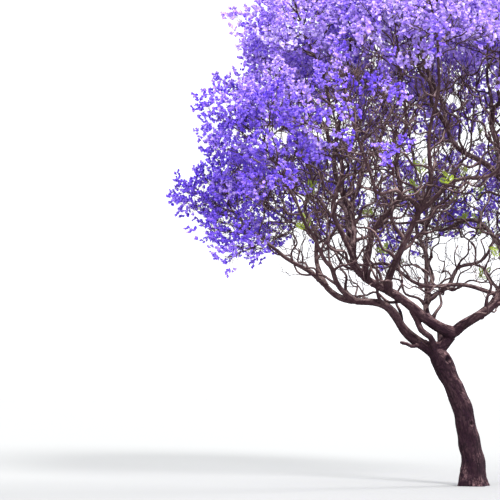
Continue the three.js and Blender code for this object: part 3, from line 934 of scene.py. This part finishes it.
# Blossom. A jacaranda's flower is a violet trumpet with five lobes, and dozens of them stand in a loose
# head on a thin stalk. One is modelled, heads of 15 to 21 are built of it, and most shoots bear a head.
FLOWER_LENGTH = 0.064
FLOWER_RADIUS = 0.033
FLOWERS_A_BUNCH = 3
FLOWER_SIDES = 10  # twice the number of its lobes
NOTCH_RADIUS, NOTCH_DEPTH = 0.56, 0.2  # of the notches between the lobes, as shares of the flower's own
HEAD_STALK, SIDE_STALK = 0.003, 0.002
bpy.ops.object.select_all(action="DESELECT")
bpy.ops.mesh.primitive_cone_add(vertices=FLOWER_SIDES, radius1=0, radius2=FLOWER_RADIUS, depth=FLOWER_LENGTH,
                                end_fill_type="NOTHING", location=(0, 0, FLOWER_LENGTH / 2))
flower = bpy.context.object
bpy.ops.object.transform_apply(location=True)


def between_lobes(vertex):
    place = round(math.degrees(math.atan2(vertex.co.y, vertex.co.x)) / (360 / FLOWER_SIDES))
    return vertex.co.z > 0.5 * FLOWER_LENGTH and place % 2 == 1


edit_with(flower.data, "VERT", between_lobes)
bpy.ops.transform.resize(value=(NOTCH_RADIUS, NOTCH_RADIUS, 1), center_override=(0, 0, 0))
bpy.ops.transform.translate(value=(0, 0, -NOTCH_DEPTH * FLOWER_LENGTH))
bpy.ops.object.mode_set(mode="OBJECT")
flower_points = np.array([vertex.co for vertex in flower.data.vertices])
flower_triangles = np.array([polygon.vertices for polygon in flower.data.polygons])
flower_paleness = np.clip(flower_points[:, 2] / FLOWER_LENGTH, 0, 1)
bpy.data.objects.remove(flower)


def stalk(foot, end, thickness):
    """The three points of a slender, flat stalk"""
    side = (end - foot).orthogonal().normalized() * thickness
    return [foot - side, foot + side, end]


def turned_to(heading, spin):
    """The turn that points +Z along a heading, after a spin about it"""
    return np.array(heading.to_track_quat("Z", "Y").to_matrix() @ Matrix.Rotation(spin, 3, "Z"))


class BlossomHead:
    """A loose cone of flowers along +Z: side stalks round a main stalk, each with a bunch of flowers that
    nod outwards. Paleness is how pale each point is."""

    def __init__(self, bunches, length, seed):
        dice = np.random.default_rng(seed)
        flowers, paleness = [], []
        stalks = [stalk(Vector((0, 0, 0)), UP * length, HEAD_STALK)]
        for k in range(bunches):
            share = k / (bunches - 1)
            angle = math.radians(GOLDEN_ANGLE * k + 40 * dice.random())
            out = Vector((math.cos(angle), math.sin(angle), 0))
            foot = UP * (length * lerp(0.1, 1, share))
            end = foot + out * (lerp(0.44, 0.03, share) * length) + UP * (0.04 + 0.02 * share)
            stalks.append(stalk(foot, end, SIDE_STALK))
            for m in range(FLOWERS_A_BUNCH):
                nod = out * lerp(0.9, 0.3, share) + UP * lerp(0, 0.9, share)
                nod += Vector(dice.uniform(-0.8, 0.8, 3))
                size = lerp(1.05, 0.75, share) * dice.uniform(0.85, 1.15)
                turn = turned_to(nod.normalized(), dice.uniform(0, 6.28))
                root = end - nod.normalized() * 0.008 - UP * (0.022 * m)
                flowers.append((flower_points @ turn.T * size + np.array(root), flower_triangles))
                paleness.append(flower_paleness * 0.3 + dice.random() ** 2)
        self.points, self.triangles = joined(flowers)
        self.paleness = np.concatenate(paleness)
        self.stalk_points = np.concatenate(stalks)
        self.stalk_triangles = np.arange(3 * len(stalks)).reshape(-1, 3)


HEADS = [(7, 0.24), (6, 0.2), (5, 0.17), (6, 0.22)]  # bunches and length of each shape of head
head_shapes = [BlossomHead(bunches, length, 31 + i) for i, (bunches, length) in enumerate(HEADS)]


FULL_BLOOM = (5.0, 8.5)  # the heights between which the blossom goes from loose clumps to full
LARGER_UP, LARGEST = (5.5, 8.0), 1.14  # the heights between which heads grow larger, and to what size


def bloom_share(point):
    """How likely a head is to bloom there: the top of the crown is full, lower down bare twigs show between
    clumps of blossom, and the middle of the crown is bare"""
    high = smoothstep(bloom_height(point), *FULL_BLOOM)
    clump = smoothstep(noise.noise(point / 0.5), -0.3, 0.05)
    outer = smoothstep(outwardness(point), lerp(0.54, 0.44, high), lerp(0.84, 0.76, high))
    thinned = 0.75 * bareness(point) * smoothstep(point.z, 4.8, 5.8)
    return outer * lerp(lerp(0.4, 1, clump), 0.97, high) * (1 - thinned)


BOX_MARGIN = 0.12
box_low, box_high = np.array(cad_box)


def near_box(point):
    """Whether a point lies in the solids' box or just outside it"""
    return bool((point > box_low - BOX_MARGIN).all() and (point < box_high + BOX_MARGIN).all())


# Petal colour: the tint, paler towards the rim and on some flowers, with a soft mottle
petal, given, result = new_group("petal skin", Paleness="Float", Tint="Color", Pale="Color")
where = add_node(petal, "TexCoord").outputs["Object"]
mottle = noise_at(petal, where, scale=38, detail=2)
creases = noise_at(petal, where, scale=120, detail=3)
lighter = ranged(petal, mottle, -0.1, 0.25, from_low=0.4, from_high=0.72)
share = worked_out(petal, "ADD", lighter, given["Paleness"], kept=True)
feed(petal, result["Color"], blend_colours(petal, share, given["Tint"], given["Pale"]))
feed(petal, result["Roughness"], ranged(petal, creases, 0.5, 0.74))
feed(petal, result["Height"], creases)


def petal_material(name, tint, pale):
    material, tree = new_material(name)
    paleness = add_node(tree, "Attribute", attribute_name="paleness").outputs["Fac"]
    skin = add_node(tree, "Group", {"Paleness": paleness, "Tint": tint, "Pale": pale}, node_tree=petal)
    finish_shader(tree, *skin.outputs, relief=0.003, strength=0.6, specular=0.3)
    return material


# Tints of the blossom from the deepest to the palest, each with its pale parts. Dealt out by place, the deep
# ones are painted shade low on the left and the pale ones painted light high up and on the right.
TINTS = [
    ("deep_violet", (0.14, 0.06, 0.7, 1), (0.28, 0.15, 0.86, 1)),
    ("blue_violet", (0.2, 0.09, 0.82, 1), (0.37, 0.23, 0.94, 1)),
    ("violet", (0.27, 0.135, 0.9, 1), (0.48, 0.32, 0.97, 1)),
    ("bright_violet", (0.35, 0.18, 0.94, 1), (0.58, 0.41, 0.98, 1)),
    ("mauve", (0.42, 0.24, 0.95, 1), (0.62, 0.46, 0.98, 1)),
    ("lavender", (0.49, 0.31, 0.97, 1), (0.68, 0.54, 0.99, 1)),
    ("lilac", (0.57, 0.4, 0.98, 1), (0.77, 0.67, 0.99, 1)),
]


# Painted light: the tints go from deep, painted shade, low on the left to pale, painted light, high up and
# on the right
PAINTED_LIGHT_UP, PAINTED_LIGHT_RIGHT = (4.2, 9.0), (-4.5, 1.0)  # where the tints go from deep to pale


def tint_and_painted_light_at(point):
    """Where on the row of tints the blossom of a place lies: deeper low on the left as painted shade, paler
    high up and on the right as painted light, with a drift of tone at random
    """
    high, right = smoothstep(point.z, *PAINTED_LIGHT_UP), smoothstep(point.x, *PAINTED_LIGHT_RIGHT)
    return -0.2 + 4.8 * high + 0.9 * right + 1.6 * noise.noise(point / 1.3)


dice = np.random.default_rng(17)
# Each spray's tint: painted light and shade by place, with some spread at random
tint_and_painted_light_of = [tint_and_painted_light_at(spray.root) + dice.normal(0, 0.8) for spray in sprays]
placed = {tint: [] for tint in range(len(TINTS))}
for number, root, heading in heads:
    if dice.random() > bloom_share(root):
        continue
    shape = dice.integers(len(HEADS))
    size = dice.uniform(0.85, 1.1) * lerp(1, LARGEST, smoothstep(root.z, *LARGER_UP))
    turn = turned_to(heading, dice.uniform(0, 6.28)) * size
    if not near_box(np.array(root + heading * (HEADS[shape][1] * size))):
        continue
    tint = min(len(TINTS) - 1, max(0, round(tint_and_painted_light_of[number] + dice.normal(0, 1.1))))
    placed[tint].append((head_shapes[shape], turn, np.array(root)))

for tint, (name, colour, pale) in enumerate(TINTS):
    flowers = [(head.points @ turn.T + root, head.triangles) for head, turn, root in placed[tint]]
    paleness = np.concatenate([head.paleness for head, _, _ in placed[tint]])
    petals = petal_material(name.replace("_", " ") + " petal", colour, pale)
    blossom = mesh_piece(name + "_blossom", *joined(flowers), petals, {"paleness": paleness})
    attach(blossom, "root")
    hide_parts(*bloom_nodes)

every_head = sum(placed.values(), [])
points, triangles = joined([(head.stalk_points @ turn.T + root, head.stalk_triangles)
                            for head, turn, root in every_head])
blossom_stalks = mesh_piece("blossom_stalks", points, triangles, young_bark, bark_attributes(points))
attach(blossom_stalks, "root")

# Fresh leaves. A few tufts of new, twice-feathered leaves come with the blossom, low in the crown. Each
# leaf is a row of narrow blades on both sides of a rib, and each tuft stands on thin wood of the tangle.
LEAF_LENGTH = 0.18
BLADE_PAIRS = 12
LEAVES_A_TUFT = 6
LEAFY_UP_TO = (3.6, 6.4)  # the heights between which tufts grow rare
leaf_points, leaf_triangles = [], []
for k in range(BLADE_PAIRS):
    share = (k + 1) / BLADE_PAIRS
    foot = Vector((0, 0, LEAF_LENGTH * (0.15 + 0.85 * share)))
    blade = 0.066 * math.sin(math.pi * (0.22 + 0.66 * share))
    for side in (-1, 1):
        tip = foot + Vector((side * blade, -0.1 * blade, 0.5 * blade))
        mid = foot.lerp(tip, 0.45)
        first = len(leaf_points)
        leaf_points += [foot, mid - UP * 0.008, tip, mid + UP * 0.008]
        leaf_triangles += [(first, first + 1, first + 2), (first, first + 2, first + 3)]
first = len(leaf_points)
leaf_points += [Vector((-0.0015, 0, 0)), Vector((0.0015, 0, 0)), Vector((0, 0, LEAF_LENGTH))]
leaf_triangles.append((first, first + 1, first + 2))
leaf_points, leaf_triangles = np.array(leaf_points), np.array(leaf_triangles)
leaf_points[:, 1] -= 1.8 * leaf_points[:, 2] ** 2
leaves = []
dice = np.random.default_rng(19)
for tip, heading in tangle_tips:
    low = 1 - smoothstep(tip.z, *LEAFY_UP_TO)
    if dice.random() > 0.012 + 0.08 * low or not in_crown(tip - UP * 0.4) or outwardness(tip) > 0.86:
        continue
    for k in range(LEAVES_A_TUFT):
        spread = perpendicular(heading, GOLDEN_ANGLE * k + 40 * dice.random())
        lean = (heading + spread * dice.uniform(0.6, 1.8) + UP * 0.2).normalized()
        turn = turned_to(lean, dice.uniform(0, 6.28)) * dice.uniform(0.6, 1.0)
        leaves.append((leaf_points @ turn.T + np.array(tip - heading * (0.035 * k)), leaf_triangles))

leaf_green, tree = new_material("fresh leaf")
veins = noise_at(tree, add_node(tree, "TexCoord").outputs["Object"], scale=22, detail=2)
green = blend_colours(tree, veins, (0.17, 0.28, 0.01, 1), (0.44, 0.52, 0.03, 1))
finish_shader(tree, green, ranged(tree, veins, 0.35, 0.65), veins, relief=0.004, strength=0.5)
fresh_leaves = mesh_piece("fresh_leaves", *joined(leaves), leaf_green, {})
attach(fresh_leaves, "root")

# Floor, light and camera. A plain pale studio floor under an even sky, a soft key low from the front right,
# a fill from the left, a rim light along the right, and a long lens at eye height, tilted up a little.
bpy.ops.mesh.primitive_plane_add(size=400, location=(0, 60, -0.002))
floor = bpy.context.object
floor.name = "floor"
floor_paint, tree = new_material("pale floor")
paint = tree.nodes["Principled BSDF"].inputs
paint["Base Color"].default_value = (0.35, 0.35, 0.345, 1)
paint["Roughness"].default_value = 0.9
floor.data.materials.append(floor_paint)

world = bpy.data.worlds.new("studio")
bpy.context.scene.world = world
world.use_nodes = True
sky = world.node_tree.nodes["Background"]
sky.inputs["Color"].default_value = (0.95, 0.97, 1, 1)
sky.inputs["Strength"].default_value = 1.42


def soft_light(name, towards, strength, softness):
    """Even light from one side of the sky, as from a wide, far window"""
    lamp = bpy.data.lights.new(name, "SUN")
    lamp.energy = strength
    lamp.angle = math.radians(softness)
    put(name, lamp).rotation_euler = Vector(towards).to_track_quat("Z", "Y").to_euler()


soft_light("key", (0.55, -0.95, 0.68), strength=3.9, softness=18)
soft_light("fill", (-0.6, -0.7, 0.5), strength=1.6, softness=40)
soft_light("rim", (0.95, 0.35, 0.5), strength=2.6, softness=20)

EYE_HEIGHT = 1.68
CAMERA_TILT = 5.48
LENS = 105.1
camera_data = bpy.data.cameras.new("camera")
camera_data.lens = LENS
camera_data.sensor_width = 36
camera_data.clip_end = 600
camera = put("camera", camera_data)
camera.location = (-3.95, -26.1, EYE_HEIGHT)
camera.rotation_euler = (math.radians(90 + CAMERA_TILT), 0, 0)
bpy.context.scene.camera = camera
bpy.context.scene.view_settings.view_transform = "Standard"
